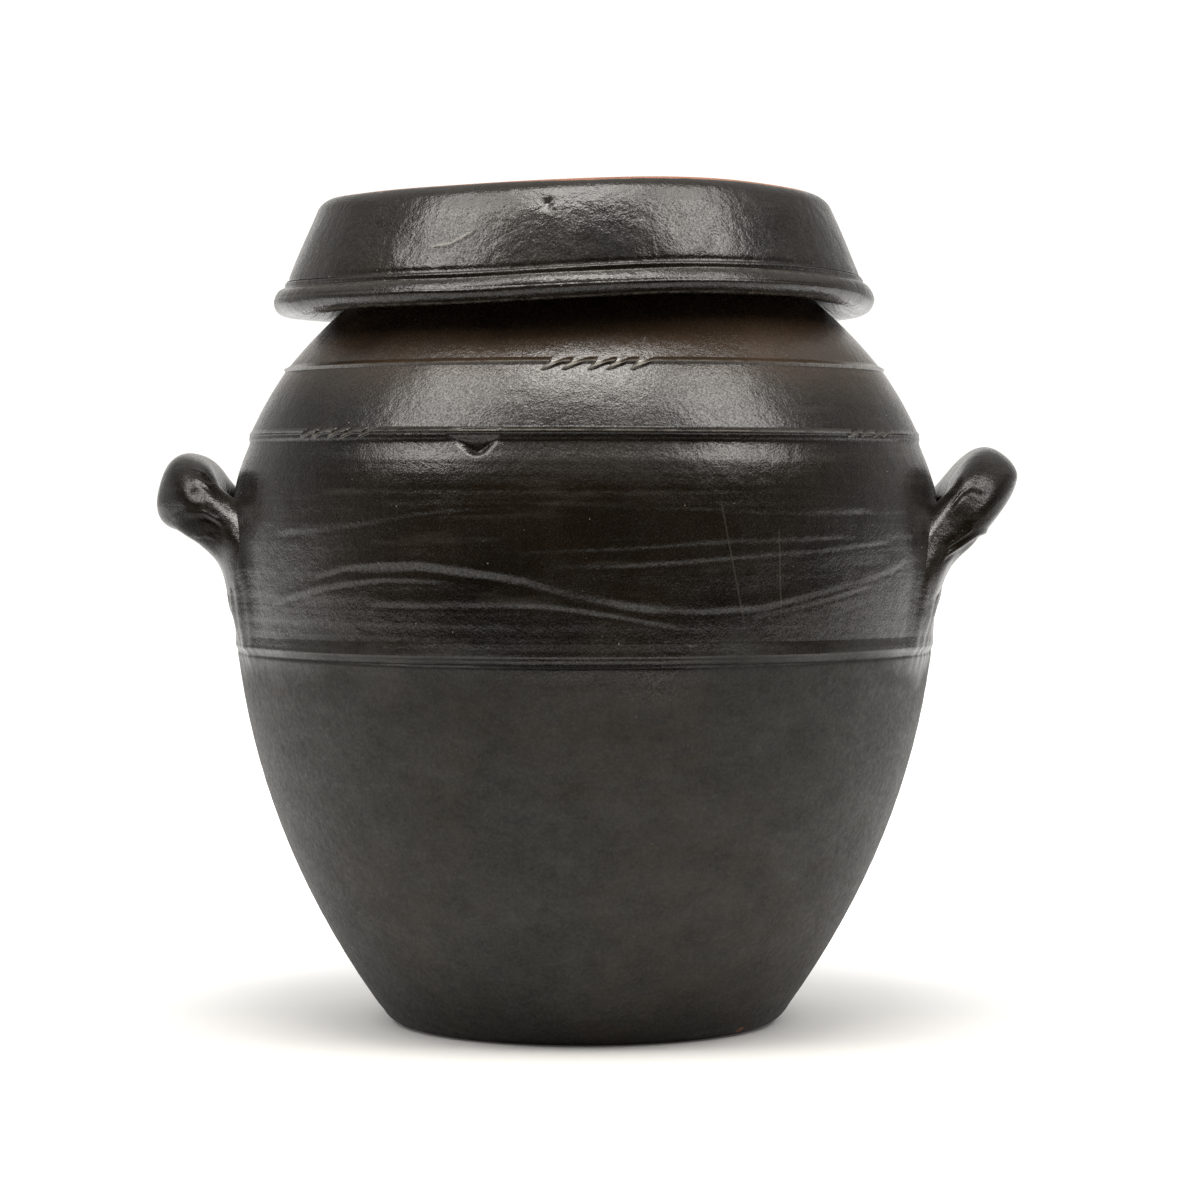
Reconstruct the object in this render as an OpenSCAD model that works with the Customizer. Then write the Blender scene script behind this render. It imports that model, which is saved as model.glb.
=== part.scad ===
// Lidded storage jar of glazed earthenware, about 8 litres.
// Built the way a potter builds it: clay pieces luted together with slip,
// and a loose dish-shaped lid that covers the mouth rim.
// Millimetres. The origin is the centre of the underside, +Z is up and the handles point along X.

/* [Jar wall] */
// Radius of the foot, where the outside meets the ground
foot_r = 67.4; // [60:0.2:76]
// Radius at the widest place of the belly
belly_r = 122.6; // [112:0.2:134]
// Outside radius of the neck, under the mouth rim
neck_r = 72; // [68:0.5:76]
// Height of the widest place above the ground
belly_z = 165.5; // [152:0.5:180]
// Height of the shoulder, from the widest place up to the neck
shoulder_h = 92; // [84:0.5:100]
// Thickness of the wall
wall_t = 8; // [6:0.25:10]
// Thickness of the clay disc that forms the floor
floor_t = 10; // [8:0.5:13]
// Rounding of the lower edge of the foot
foot_round = 4; // [2:0.5:6]
// Height of the slanted lap where the two wall belts overlap
lap_h = 12; // [6:1:18]
// Leg of the clay coil pressed into the corner of floor and wall
floor_coil_leg = 7; // [4:0.5:10]

/* [Mouth rim] */
// Thickness of the neck, from the throat to the outside
neck_t = 8; // [7:0.5:10]
// Height of the rim coil above the neck
rim_h = 21.2; // [19:0.2:27]
// How far the lip stands out past the neck
lip_out = 5; // [3:0.5:7]
// Height of the thick part of the lip
lip_h = 11; // [9:0.5:13]
// Rounding of the lip's edges
lip_round = 3; // [2:0.25:4]

/* [Bands] */
// Height of the upper band above the widest place
neck_band_rise = 61; // [55:0.5:67]
// Height of the shoulder band above the widest place
shoulder_band_rise = 38.5; // [34:0.5:44]
// Depth of the belly band below the widest place
belly_band_drop = 32.5; // [27:0.5:38]
// Width of the two narrow bands
thin_band_w = 4.4; // [3:0.2:6]
// Width of the belly band, which covers the lap of the wall
belly_band_w = 8.4; // [7:0.2:11]
// How far a band stands out from the wall
band_out = 1.3; // [0.8:0.1:2]

/* [Handles] */
// Height of the handle's crown above the widest place
crown_rise = 22.6; // [18:0.2:27]
// Distance of the crown's middle from the wall
crown_out = 17.6; // [16:0.2:22]
// Half the distance between the middles of the two legs
leg_spread = 31; // [28:0.5:35]
// Half the thickness of the clay roll, across the arch
roll_half_t = 10.2; // [8.6:0.2:11.4]
// Half the width of the clay roll, in the plane of the arch
roll_half_w = 12.4; // [10.6:0.2:13.6]

/* [Lid] */
// Free play between the mouth rim and the inside of the lid
lid_play = 6; // [5:0.25:8]
// How far the lid sits off the jar's axis, towards the left handle
lid_shift = 3.6; // [0:0.2:4]
// Thickness of the lid's plate
lid_plate_t = 8.5; // [7:0.25:11]
// Thickness of the lid's wall
lid_wall_t = 7.5; // [6:0.25:9]
// Flare of the lid's wall from upright, in degrees
lid_flare = 22.5; // [16:0.5:26]
// Height of the lid's wall, from the plate down to the bead
lid_wall_h = 21; // [16:0.2:23]
// Rounding of the lid's upper edge
lid_round = 5; // [3:0.5:6.5]
// Height of the rolled bead around the lid's lower edge
bead_h = 13; // [11:0.25:17]
// Width of the rolled bead
bead_w = 13.4; // [11:0.2:16]

/* [Joints] */
// Thickness of the slip between two luted pieces of clay
slip = 0.1; // [0.05:0.05:0.2]
// Gap under the lid's plate where it rests on the rim
seat_gap = 0.3; // [0.2:0.05:0.5]

/* [Hidden] */

glaze = [0.17, 0.14, 0.12];
glaze_light = [0.24, 0.21, 0.19];
bare_clay = [0.56, 0.34, 0.25];

// How the wall bulges: a larger power keeps it straighter near the belly and rounds it later.
lower_bulge = 2.22;
upper_bulge = 2.4;

neck_z = belly_z + shoulder_h;
mouth_r = neck_r - neck_t;
rim_r = neck_r + lip_out;
rim_z = neck_z + rim_h;
seam_z = belly_z - belly_band_drop;
seat_z = rim_z + seat_gap;
lid_in_r = rim_r + lid_play;
bead_top_z = seat_z - lid_wall_h;
// Distance between the stations of a turned outline, and points to a rounded corner
station_gap = 4;
arc_steps = 8;
ring_fn = 180;
// Thickness of a band at its upper and lower edge
band_edge = 0.2;
// How deep the bead's oval is cut flat for its seat, and how far it stands outwards
bead_flat = 1;
bead_lean = 2;
bead_sides = 32;

// Outside of the jar wall

// Share of the way from the widest place to the foot, or to the neck
function away(z) = z < belly_z ? (belly_z - z) / belly_z : (z - belly_z) / shoulder_h;

// Outside radius of the wall at height z
function wall_r(z) = z < belly_z
    ? belly_r - (belly_r - foot_r) * pow(away(z), lower_bulge)
    : belly_r - (belly_r - neck_r) * pow(away(z), upper_bulge);

// Slope of the outside, radius over height
function wall_slope(z) = z < belly_z
    ? (belly_r - foot_r) * lower_bulge / belly_z * pow(away(z), lower_bulge - 1)
    : -(belly_r - neck_r) * upper_bulge / shoulder_h * pow(away(z), upper_bulge - 1);

// Inside radius of the wall at height z, never narrower than the throat
function inner_r(z) = max(mouth_r, wall_r(z) - wall_t * sqrt(1 + pow(wall_slope(z), 2)));

// Heights from a to b in equal steps of about station_gap
function heights(a, b) =
    let (n = max(2, ceil(abs(b - a) / station_gap)))
    [for (i = [0:n]) a + (b - a) * i / n];

// One belt of wall; its ends may slant from the outside height to the inside height
module wall_belt(out_a, out_b, in_a, in_b) {
    rotate_extrude($fn = ring_fn)
        polygon(concat(
            [for (z = heights(out_a, out_b)) [wall_r(z), z]],
            [for (z = heights(in_b, in_a)) [inner_r(z), z]]));
}

// Everything inside the outside face of the wall, grown by the slip
module wall_envelope() {
    rotate_extrude($fn = ring_fn)
        polygon(concat(
            [[0, 0]],
            [for (z = heights(0, neck_z)) [wall_r(z) + slip, z]],
            [[0, neck_z]]));
}

// Jar

module floor_disc() {
    color(bare_clay)
        rotate_extrude($fn = ring_fn)
            polygon(concat(
                [[0, 0]],
                [for (i = [0:arc_steps])
                    let (a = 90 * i / arc_steps)
                    [wall_r(foot_round * (1 - cos(a))) - foot_round * (1 - sin(a)),
                     foot_round * (1 - cos(a))]],
                [for (z = heights(foot_round, floor_t)) [wall_r(z), z]],
                [[0, floor_t]]));
}

// Cove pressed into the corner: thick at the floor and running out up the wall
module floor_coil() {
    z0 = floor_t + slip;
    color(glaze)
        rotate_extrude($fn = ring_fn)
            polygon(concat(
                [for (i = [0:arc_steps])
                    let (u = i / arc_steps)
                    [inner_r(z0 + floor_coil_leg * u) - slip, z0 + floor_coil_leg * u]],
                [for (i = [arc_steps - 1:-1:0])
                    let (u = i / arc_steps, cove = 1 - sqrt(1 - pow(1 - u, 2)))
                    [inner_r(z0 + floor_coil_leg * u) - slip - floor_coil_leg * cove,
                     z0 + floor_coil_leg * u]]));
}

module lower_wall() {
    color(glaze_light)
        wall_belt(floor_t + slip, seam_z + lap_h / 2, floor_t + slip, seam_z - lap_h / 2);
}

module upper_wall() {
    color(glaze)
        wall_belt(seam_z + lap_h / 2 + slip, neck_z, seam_z - lap_h / 2 + slip, neck_z);
}

// Coil that closes the neck and turns out into a thick lip
module mouth_rim() {
    z0 = neck_z + slip;
    lip_z = rim_z - lip_h;
    color(glaze)
        rotate_extrude($fn = ring_fn)
            polygon(concat(
                [[mouth_r, z0], [neck_r, z0]],
                [for (i = [0:arc_steps])
                    let (u = i / arc_steps, bend = (1 - cos(180 * u)) / 2)
                    [neck_r + lip_out * bend, lip_z + lip_round * (u - 1)]],
                [for (i = [0:arc_steps])
                    let (a = 90 * i / arc_steps)
                    [rim_r - lip_round * (1 - cos(a)), rim_z - lip_round * (1 - sin(a))]],
                [for (i = [0:arc_steps])
                    let (a = 90 * i / arc_steps)
                    [mouth_r + lip_round * (1 - sin(a)), rim_z - lip_round * (1 - cos(a))]]));
}

// Bands

// Low rounded strip of clay around the wall, centred at height z
module band(z, w) {
    color(glaze)
        rotate_extrude($fn = ring_fn)
            polygon(concat(
                [for (i = [-arc_steps:arc_steps])
                    let (u = i / arc_steps, h = z + w / 2 * u)
                    [wall_r(h) + slip + band_edge + (band_out - band_edge) * (1 - u * u), h]],
                [for (i = [arc_steps:-1:-arc_steps])
                    let (h = z + w / 2 * i / arc_steps)
                    [wall_r(h) + slip, h]]));
}

module neck_band() {
    band(belly_z + neck_band_rise, thin_band_w);
}

module shoulder_band() {
    band(belly_z + shoulder_band_rise, thin_band_w);
}

module belly_band() {
    band(seam_z, belly_band_w);
}

// Handles

// A handle is a clay roll bent into an arch and smeared down the wall at both legs.
// Each row is a station of one half, from the crown to the tip of the tail: sideways, out from
// the wall, up from the widest place, half thickness, half width.
right_half = [
    [0,                 crown_out,        crown_rise,        roll_half_t,       roll_half_w],
    [leg_spread * 0.5,  crown_out - 0.6,  crown_rise - 1.8,  roll_half_t,       roll_half_w - 0.6],
    [leg_spread * 0.86, crown_out - 4.2,  crown_rise - 7.6,  roll_half_t - 0.8, roll_half_w - 2.4],
    [leg_spread,        crown_out - 10,   crown_rise - 15.4, roll_half_t - 1.8, roll_half_w - 3.2],
    [leg_spread + 2.5,  crown_out - 16,   crown_rise - 24.4, roll_half_t - 3.8, roll_half_w - 3],
    [leg_spread + 6,    crown_out - 19.6, crown_rise - 35,   roll_half_t - 5.4, roll_half_w - 2.8],
    [leg_spread + 9.5,  crown_out - 21.6, crown_rise - 44,   roll_half_t - 7,   roll_half_w - 7]];

left_half = [
    [0,                 crown_out - 0.2,  crown_rise - 3.2,  roll_half_t - 0.8, roll_half_w + 1],
    [leg_spread * 0.5,  crown_out - 1,    crown_rise - 4.4,  roll_half_t - 0.8, roll_half_w + 0.4],
    [leg_spread * 0.84, crown_out - 4.8,  crown_rise - 9,    roll_half_t - 2.2, roll_half_w - 2],
    [leg_spread - 1,    crown_out - 11.8, crown_rise - 15.4, roll_half_t - 3.4, roll_half_w - 3],
    [leg_spread + 2,    crown_out - 17.4, crown_rise - 24,   roll_half_t - 5,   roll_half_w - 3.2],
    [leg_spread + 5.5,  crown_out - 20.2, crown_rise - 35,   roll_half_t - 6,   roll_half_w - 3.4],
    [leg_spread + 9,    crown_out - 21.6, crown_rise - 44,   roll_half_t - 7,   roll_half_w - 7]];

// Lean of the crown's section away from upright: the right one leans out, the left one in
right_lean = 36;
left_lean = -16;

span_steps = 4;
sides = 20;
squareness = 2.5;

// The other leg, by the sign of the sideways value
function mirrored(row) = [for (i = [0:len(row) - 1]) i == 0 ? -row[0] : row[i]];

// The whole arch: one leg from its tail up to the crown, then the other leg down
function arch(half) = concat(
    [for (i = [len(half) - 1:-1:1]) mirrored(half[i])],
    half);

function clamped(rows, i) = rows[min(max(i, 0), len(rows) - 1)];

// Smooth curve through four neighbouring stations, between the second and the third
function between(a, b, c, d, t) =
    0.5 * (2 * b + (c - a) * t + (2 * a - 5 * b + 4 * c - d) * t * t
           + (3 * b - a - 3 * c + d) * t * t * t);

function smoothed(rows) = [
    for (i = [0:len(rows) - 2], k = [0:span_steps - (i == len(rows) - 2 ? 0 : 1)])
        between(clamped(rows, i - 1), rows[i], rows[i + 1], clamped(rows, i + 2),
                k / span_steps)];

// Middle of a section, in space
function middle(row) =
    let (z = belly_z + row[2], reach = wall_r(z) + row[1])
    [sqrt(reach * reach - row[0] * row[0]), row[0], z];

function unit(v) = v / norm(v);

function bulge(c) = sign(c) * pow(abs(c), 2 / squareness);

// Ring of points around the path at station i, square to the path
function ring(rows, path, i, lean) =
    let (at = path[i],
         along = unit(clamped(path, i + 1) - clamped(path, i - 1)),
         radial = unit([at[0], at[1], 0]),
         face = [radial[0] * cos(lean), radial[1] * cos(lean), -sin(lean)],
         out = unit(face - (face * along) * along),
         across = cross(along, out))
    [for (k = [0:sides - 1])
        let (a = 360 * k / sides)
        at + out * rows[i][3] * bulge(cos(a)) + across * rows[i][4] * bulge(sin(a))];

module clay_roll(half, lean) {
    rows = smoothed(arch(half));
    path = [for (row = rows) middle(row)];
    last = len(rows) - 1;
    points = [for (i = [0:last]) each ring(rows, path, i, lean)];
    skin = [for (i = [0:last - 1], k = [0:sides - 1])
        let (n = (k + 1) % sides)
        each [[i * sides + k, i * sides + n, (i + 1) * sides + n],
              [i * sides + k, (i + 1) * sides + n, (i + 1) * sides + k]]];
    ends = [for (k = [1:sides - 2])
        each [[0, k + 1, k],
              [last * sides, last * sides + k, last * sides + k + 1]]];
    polyhedron(points, concat(skin, ends), convexity = 6);
}

module right_handle() {
    color(glaze)
        difference() {
            clay_roll(right_half, right_lean);
            wall_envelope();
        }
}

module left_handle() {
    color(glaze)
        difference() {
            rotate([0, 0, 180]) clay_roll(left_half, left_lean);
            wall_envelope();
        }
}

// Lid

// Outside radius of the lid's wall at height z
function lid_r(z) = lid_in_r + lid_wall_t / cos(lid_flare) + (seat_z - z) * tan(lid_flare);

module lid_plate() {
    top_z = seat_z + lid_plate_t;
    color(bare_clay)
        translate([-lid_shift, 0, 0])
            rotate_extrude($fn = ring_fn)
                polygon(concat(
                    [[0, seat_z], [lid_r(seat_z), seat_z]],
                    [for (i = [0:arc_steps])
                        let (a = 90 * i / arc_steps, z = top_z - lid_round * (1 - sin(a)))
                        [lid_r(z) - lid_round * (1 - cos(a)), z]],
                    [[0, top_z]]));
}

module lid_wall() {
    z1 = seat_z - slip;
    color(glaze)
        translate([-lid_shift, 0, 0])
            rotate_extrude($fn = ring_fn)
                polygon([
                    [lid_r(z1) - lid_wall_t / cos(lid_flare), z1],
                    [lid_r(bead_top_z) - lid_wall_t / cos(lid_flare), bead_top_z],
                    [lid_r(bead_top_z), bead_top_z],
                    [lid_r(z1), z1]]);
}

// Rolled edge: an oval with a flat seat where the wall is luted to it
module lid_bead() {
    seat = bead_top_z - slip;
    middle_z = seat - bead_h / 2 + bead_flat;
    middle_r = lid_r(bead_top_z) - lid_wall_t / cos(lid_flare) / 2 + bead_lean;
    color(glaze)
        translate([-lid_shift, 0, 0])
            rotate_extrude($fn = ring_fn)
                intersection() {
                    translate([middle_r, middle_z])
                        polygon([for (a = [0:360 / bead_sides:359])
                            [bead_w / 2 * cos(a), bead_h / 2 * sin(a)]]);
                    translate([middle_r - bead_w, seat - 2 * bead_h])
                        square([2 * bead_w, 2 * bead_h]);
                }
}

floor_disc();
floor_coil();
lower_wall();
upper_wall();
mouth_rim();
neck_band();
shoulder_band();
belly_band();
left_handle();
right_handle();
lid_plate();
lid_wall();
lid_bead();
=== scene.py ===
"""Dresses the lidded earthenware storage jar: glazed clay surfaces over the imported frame."""
import math

import bpy
import numpy as np
from bpy.props import FloatProperty, FloatVectorProperty, PointerProperty
from bpy.types import NodeSocket, Operator, Panel, PropertyGroup
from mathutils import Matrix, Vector


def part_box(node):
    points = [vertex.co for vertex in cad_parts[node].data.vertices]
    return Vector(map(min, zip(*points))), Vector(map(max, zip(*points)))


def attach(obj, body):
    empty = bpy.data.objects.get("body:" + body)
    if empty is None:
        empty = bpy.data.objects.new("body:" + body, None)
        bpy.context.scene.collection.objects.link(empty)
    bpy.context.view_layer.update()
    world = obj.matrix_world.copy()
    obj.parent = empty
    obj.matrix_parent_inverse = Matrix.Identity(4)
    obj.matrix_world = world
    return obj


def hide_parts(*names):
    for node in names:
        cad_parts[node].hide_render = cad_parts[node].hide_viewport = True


bl_info = {
    "name": "Lidded Storage Jar",
    "version": (1, 0, 0),
    "blender": (4, 5, 0),
    "location": "View3D > Sidebar > Jar",
    "description": "Builds a glazed earthenware jar with lug handles and a dish-shaped lid",
    "category": "Add Mesh",
}

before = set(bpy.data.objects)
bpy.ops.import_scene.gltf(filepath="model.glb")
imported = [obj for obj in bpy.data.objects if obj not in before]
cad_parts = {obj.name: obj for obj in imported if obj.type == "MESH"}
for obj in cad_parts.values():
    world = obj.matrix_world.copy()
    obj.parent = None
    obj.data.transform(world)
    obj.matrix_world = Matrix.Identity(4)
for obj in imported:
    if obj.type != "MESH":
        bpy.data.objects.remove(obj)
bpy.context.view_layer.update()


def top_of(node):
    """Height of a CAD node's highest point, in metres."""
    return float(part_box(node)[1][2])


def length(name, default, description):
    """A size in metres with the length unit."""
    return FloatProperty(name=name, default=default, description=description,
                         unit="LENGTH", subtype="DISTANCE", precision=4, min=0.0)


def colour(name, default, description):
    """A linear colour."""
    return FloatVectorProperty(name=name, default=default, description=description,
                               subtype="COLOR", size=3, min=0.0, max=1.0)


def amount(name, default, description, top=1.0):
    """A plain number from 0 to top."""
    return FloatProperty(name=name, default=default, description=description, min=0.0, max=top)


class StorageJarSizes(PropertyGroup):
    """Sizes of the jar, as in the CAD source"""
    foot_radius: length("Foot radius", 0.0674, "Radius where the wall meets the ground")
    belly_radius: length("Belly radius", 0.1226, "Radius at the widest place")
    neck_radius: length("Neck radius", 0.072, "Outside radius under the mouth rim")
    belly_height: length("Belly height", 0.1655, "Height of the widest place")
    shoulder_height: length("Shoulder height", 0.092, "From the widest place up to the neck")
    wall: length("Wall", 0.008, "Thickness of the wall")
    floor: length("Floor", 0.010, "Thickness of the floor disc")
    foot_round: length("Foot rounding", 0.004, "Rounding of the lower edge")
    throat_radius: length("Throat radius", 0.064, "Inside radius of the mouth")
    lip_out: length("Lip", 0.005, "How far the lip stands out past the neck")
    lip_height: length("Lip height", 0.011, "Height of the thick part of the lip")
    rim_top: length("Rim top", top_of("mouth_rim"), "Height of the lip's upper side")
    lid_top: length("Lid top", top_of("lid_plate"), "Height of the lid's flat top")
    lid_plate: length("Lid plate", 0.0085, "Thickness of the lid's plate")
    lid_inside: length("Lid inside radius", 0.083, "Inside radius of the lid at its plate")
    lid_wall: length("Lid wall", 0.0075, "Thickness of the lid's wall")
    lid_shift: length("Lid shift", 0.0036, "How far the lid sits off the jar's axis")
    lid_drop: length("Lid wall height", 0.021, "From the plate down to the bead")
    bead_height: length("Bead height", 0.013, "Height of the lid's rolled edge")


class StorageJarRelief(PropertyGroup):
    """How strongly the potter's marks show"""
    rings: length("Throwing rings", 0.00004, "Height of the fine turned rings")
    drawn: length("Drawn lines", 0.00037, "Depth of the lines drawn with a finger")
    nicks: length("Nicks", 0.0022, "How far the slanted nicks cut down a band's edge")
    fillet: length("Smear", 0.011, "Reach of the clay smeared where the handles join")
    warp: length("Lid warp", 0.0019, "Rise and fall of the lid's edge from firing")


class StorageJarFinish(PropertyGroup):
    """Colours and gloss of glaze and clay"""
    glaze_dark: colour("Dark glaze", (0.0038, 0.0027, 0.0015), "Thick glaze")
    glaze_brown: colour("Brown glaze", (0.0092, 0.0058, 0.0029), "Glaze where it is thinner")
    # The edge glaze is real run-off glaze, and is also blended in as faint painted highlights along marked
    # edges
    edge_glaze_and_highlight: colour("Edge glaze", (0.19, 0.17, 0.145), "Glaze that has run off an edge")
    # The pale glaze also paints highlights: on the nick strokes, on the band edges in front and along the
    # lid's scored line
    pale_glaze_and_highlight: colour("Pale glaze", (0.27, 0.255, 0.23), "Glaze scraped thin by the nicks")
    matt_grey: colour("Matt glaze", (0.0100, 0.0096, 0.0077), "Dry-looking glaze of the lower wall")
    clay_red: colour("Bare clay", (0.33, 0.135, 0.075), "Unglazed fired clay")
    clay_dark: colour("Burnt clay", (0.17, 0.075, 0.045), "Flashed and stained clay")
    gloss: amount("Glossy roughness", 0.215, "Roughness of the upper wall")
    dull: amount("Dull roughness", 0.56, "Roughness of the lower wall")


class StorageJarLight(PropertyGroup):
    """Studio floor and lamps"""
    floor: colour("Floor", (0.8, 0.8, 0.79), "Colour of the plain floor")
    side: amount("Side lamps", 10.5, "Power of each raised side softbox in watts", 500.0)
    top: amount("Overhead lamp", 17.0, "Power of the overhead softbox in watts", 500.0)
    room: amount("Room light", 1.1, "Strength of the pale surroundings", 5.0)


# ---- arithmetic shared by all shapes ----

def millimetres(group):
    """The sizes of a property group in millimetres, by name."""
    return {key: getattr(group, key) * 1000 for key in group.__annotations__}


def smooth(x):
    """Cubic step from 0 to 1 as x goes from 0 to 1."""
    x = np.clip(x, 0, 1)
    return x * x * (3 - 2 * x)


def between(x, low, high, soft):
    """Rises from 0 to 1 over a soft stretch above low, and falls to 0 over one below high."""
    return smooth((x - low) / soft) * smooth((high - x) / soft)


def bell(x, width):
    """Bell curve: 1 in the middle, and down to a third one width away from it."""
    return np.exp(-(x / width) ** 2)


def turn_gap(a, b):
    """Smallest difference between two angles in degrees, from -180 to 180."""
    return (a - b + 180) % 360 - 180


def arc(angle, start, radius):
    """Way from one angle to another around a circle of the radius."""
    return turn_gap(angle, start) * math.pi / 180 * radius


def waves(a, b, seed, count=5, low=1.0, high=4.0):
    """Sum of plane sine waves over (a, b) with seeded directions, scaled to about -1 to 1."""
    rng = np.random.default_rng(seed)
    total = np.zeros(np.broadcast(a, b).shape)
    for f, turn, phase in zip(np.geomspace(low, high, count), rng.uniform(0, 6.28, count),
                              rng.uniform(0, 6.28, count)):
        total = total + np.sin(f * (a * math.cos(turn) + b * math.sin(turn)) + phase)
    return total / count * 1.4


def lumps(turn, often, seed, along=0.0):
    """Seeded waves that close around the jar, and may also change along a second value."""
    return waves(np.sin(turn) * often, np.cos(turn) * often + along, seed)


def spline(rows, steps):
    """Smooth curve through the rows, steps points to a span: the cubic through four neighbours."""
    padded = np.concatenate([rows[:1], rows, rows[-1:]])
    u = np.linspace(0, len(rows) - 1, steps * (len(rows) - 1) + 1)
    i = np.minimum(u.astype(int), len(rows) - 2)
    t = (u - i)[:, None]
    a, b, c, d = (padded[i + k] for k in range(4))
    return 0.5 * (2 * b + (c - a) * t + (2 * a - 5 * b + 4 * c - d) * t ** 2
                  + (3 * b - a - 3 * c + d) * t ** 3)


# ---- outline of the jar, in millimetres ----

LOWER_BULGE, UPPER_BULGE = 2.22, 2.4
SEAM = 133.0
# Raised bands: height of the middle, half the width
BANDS = {"neck_band": (226.5, 2.2), "shoulder_band": (204.0, 2.2), "belly_band": (133.0, 4.2)}
BAND_OUT = 1.3


def wall_radius(z, s):
    """Outside radius at height z: the widest radius less a power of the way to foot or neck."""
    z = np.asarray(z, float)
    down = np.clip((s["belly_height"] - z) / s["belly_height"], 0, 1)
    up = np.clip((z - s["belly_height"]) / s["shoulder_height"], 0, 1)
    return (s["belly_radius"] - (s["belly_radius"] - s["foot_radius"]) * down ** LOWER_BULGE
            - (s["belly_radius"] - s["neck_radius"]) * up ** UPPER_BULGE)


def inner_radius(z, s):
    """Inside radius at height z: the outside less the wall measured square to its slope."""
    slope = wall_radius(z + 0.5, s) - wall_radius(z - 0.5, s)
    return np.maximum(s["throat_radius"], wall_radius(z, s) - s["wall"] * np.sqrt(1 + slope ** 2))


# ---- places read off the picture ----

# The eye in mm, the lens and film width in mm that give the focal length in pixels of a picture
# 1200 wide, and the pixel column and row that the eye looks along
EYE = (5.4, -1295.0, 189.0)
LENS, FILM = 111.0, 36.0
FOCAL, MIDDLE, HORIZON = 3700.0, 600.0, 480.0


def seen(points, radius, shift=0.0):
    """Angle from the front and height of picture points on a turned surface.

    The sight line from the eye through the point is followed to where its distance from the
    axis equals the surface's radius at that height, by repeated substitution."""
    x, y = np.array(points, float).T
    px, pz = (x - MIDDLE) / FOCAL, (HORIZON - y) / FOCAL
    t = np.full(len(x), -EYE[1] - 100.0)
    for _ in range(12):
        z, across = EYE[2] + t * pz, EYE[0] + t * px - shift
        t = -EYE[1] - np.sqrt(np.maximum(radius(z) ** 2 - across ** 2, 1.0))
    z, across = EYE[2] + t * pz, EYE[0] + t * px - shift
    return np.degrees(np.arctan2(across, -(t + EYE[1]))), z


# Each drawn line: half width in mm, share of the full depth, its points in the picture
DRAWN = [
    (0.9, 0.42, [(272, 530), (308, 528), (354, 521), (399, 514), (444, 507), (494, 504), (558, 505),
                 (649, 503), (740, 507), (808, 509), (876, 507)]),
    (0.7, 0.5, [(308, 578), (344, 566), (390, 561), (444, 561)]),
    (1.2, 1.15, [(338, 566), (422, 562), (494, 571), (531, 578), (567, 590), (631, 603), (676, 608)]),
    (0.8, 0.5, [(600, 597), (631, 603), (694, 609), (763, 605), (785, 599), (831, 587), (876, 573),
                (908, 559)]),
    (0.6, 0.4, [(740, 617), (785, 608), (831, 596), (876, 582)]),
    (0.7, 0.5, [(267, 605), (308, 590), (344, 582), (385, 577), (422, 578), (458, 581)]),
    (0.7, 0.5, [(363, 602), (444, 603), (531, 603), (572, 607), (617, 614), (667, 623), (694, 626)]),
    (0.6, 0.35, [(508, 551), (581, 548), (649, 545), (717, 540), (785, 539), (854, 534)]),
    (0.6, 0.35, [(540, 565), (626, 564), (694, 559), (740, 555), (808, 550), (854, 544), (894, 539)]),
    (0.6, 0.4, [(555, 598), (575, 600), (592, 603)]),
]
# A line is followed at this many points, and smoothed over this many degrees to each side
LINE_POINTS, LINE_EASE = 400, 2.2
# Rows of nicks by band: first angle, last angle, degrees to a tooth, how deep they cut (0 to 1)
NICKS = {"neck_band": [(-6.6, 12.3, 3.9, 1.0), (166.0, 181.5, 3.9, 0.9)],
         "shoulder_band": [(-53.0, -34.4, 3.6, 0.8), (48.5, 62.0, 3.4, 0.7), (126.0, 137.0, 3.6, 0.5),
                           (-142.0, -134.0, 3.8, 0.5)]}
# Fine lines turned into the shoulder: height, and how far they stand out or lie in
SHOULDER_LINES = [(184.6, 0.045), (182.6, -0.05), (180.4, 0.03)]
# Dents and swellings left by fingers: angle, height, half width, half height, how far they stand out
DENTS = [(33.0, 160.0, 9.0, 12.0, -0.25), (-38.0, 172.0, 12.0, 7.0, -0.22), (8.0, 66.0, 13.0, 9.0, -0.2),
         (-12.0, 90.0, 16.0, 12.0, 0.2), (150.0, 170.0, 12.0, 9.0, -0.25), (-120.0, 96.0, 15.0, 12.0, -0.2)]
# Radius of the wall where a way around it is measured: at the dents, and at the notch
DENT_RADIUS, NOTCH_RADIUS = 115, 114
# Hollow under the shoulder band: depth, drop of its middle, reach above and below that
HOLLOW, HOLLOW_DROP, HOLLOW_UP, HOLLOW_DOWN = 0.85, 2.6, 1.3, 5.5
# Notch in that hollow: angle, half its width, how much narrower per mm down, depth per mm down, height
NOTCH_AT, NOTCH_HALF, NOTCH_TAPER, NOTCH_SLOPE, NOTCH_TALL = -17.6, 9.4, 1.3, 0.46, 6.0
# Crease under the belly band: depth all round, more of it in front, drop, half width
CREASE, CREASE_FRONT, CREASE_DROP, CREASE_WIDE = 0.25, 0.55, 2.9, 0.75


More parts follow.
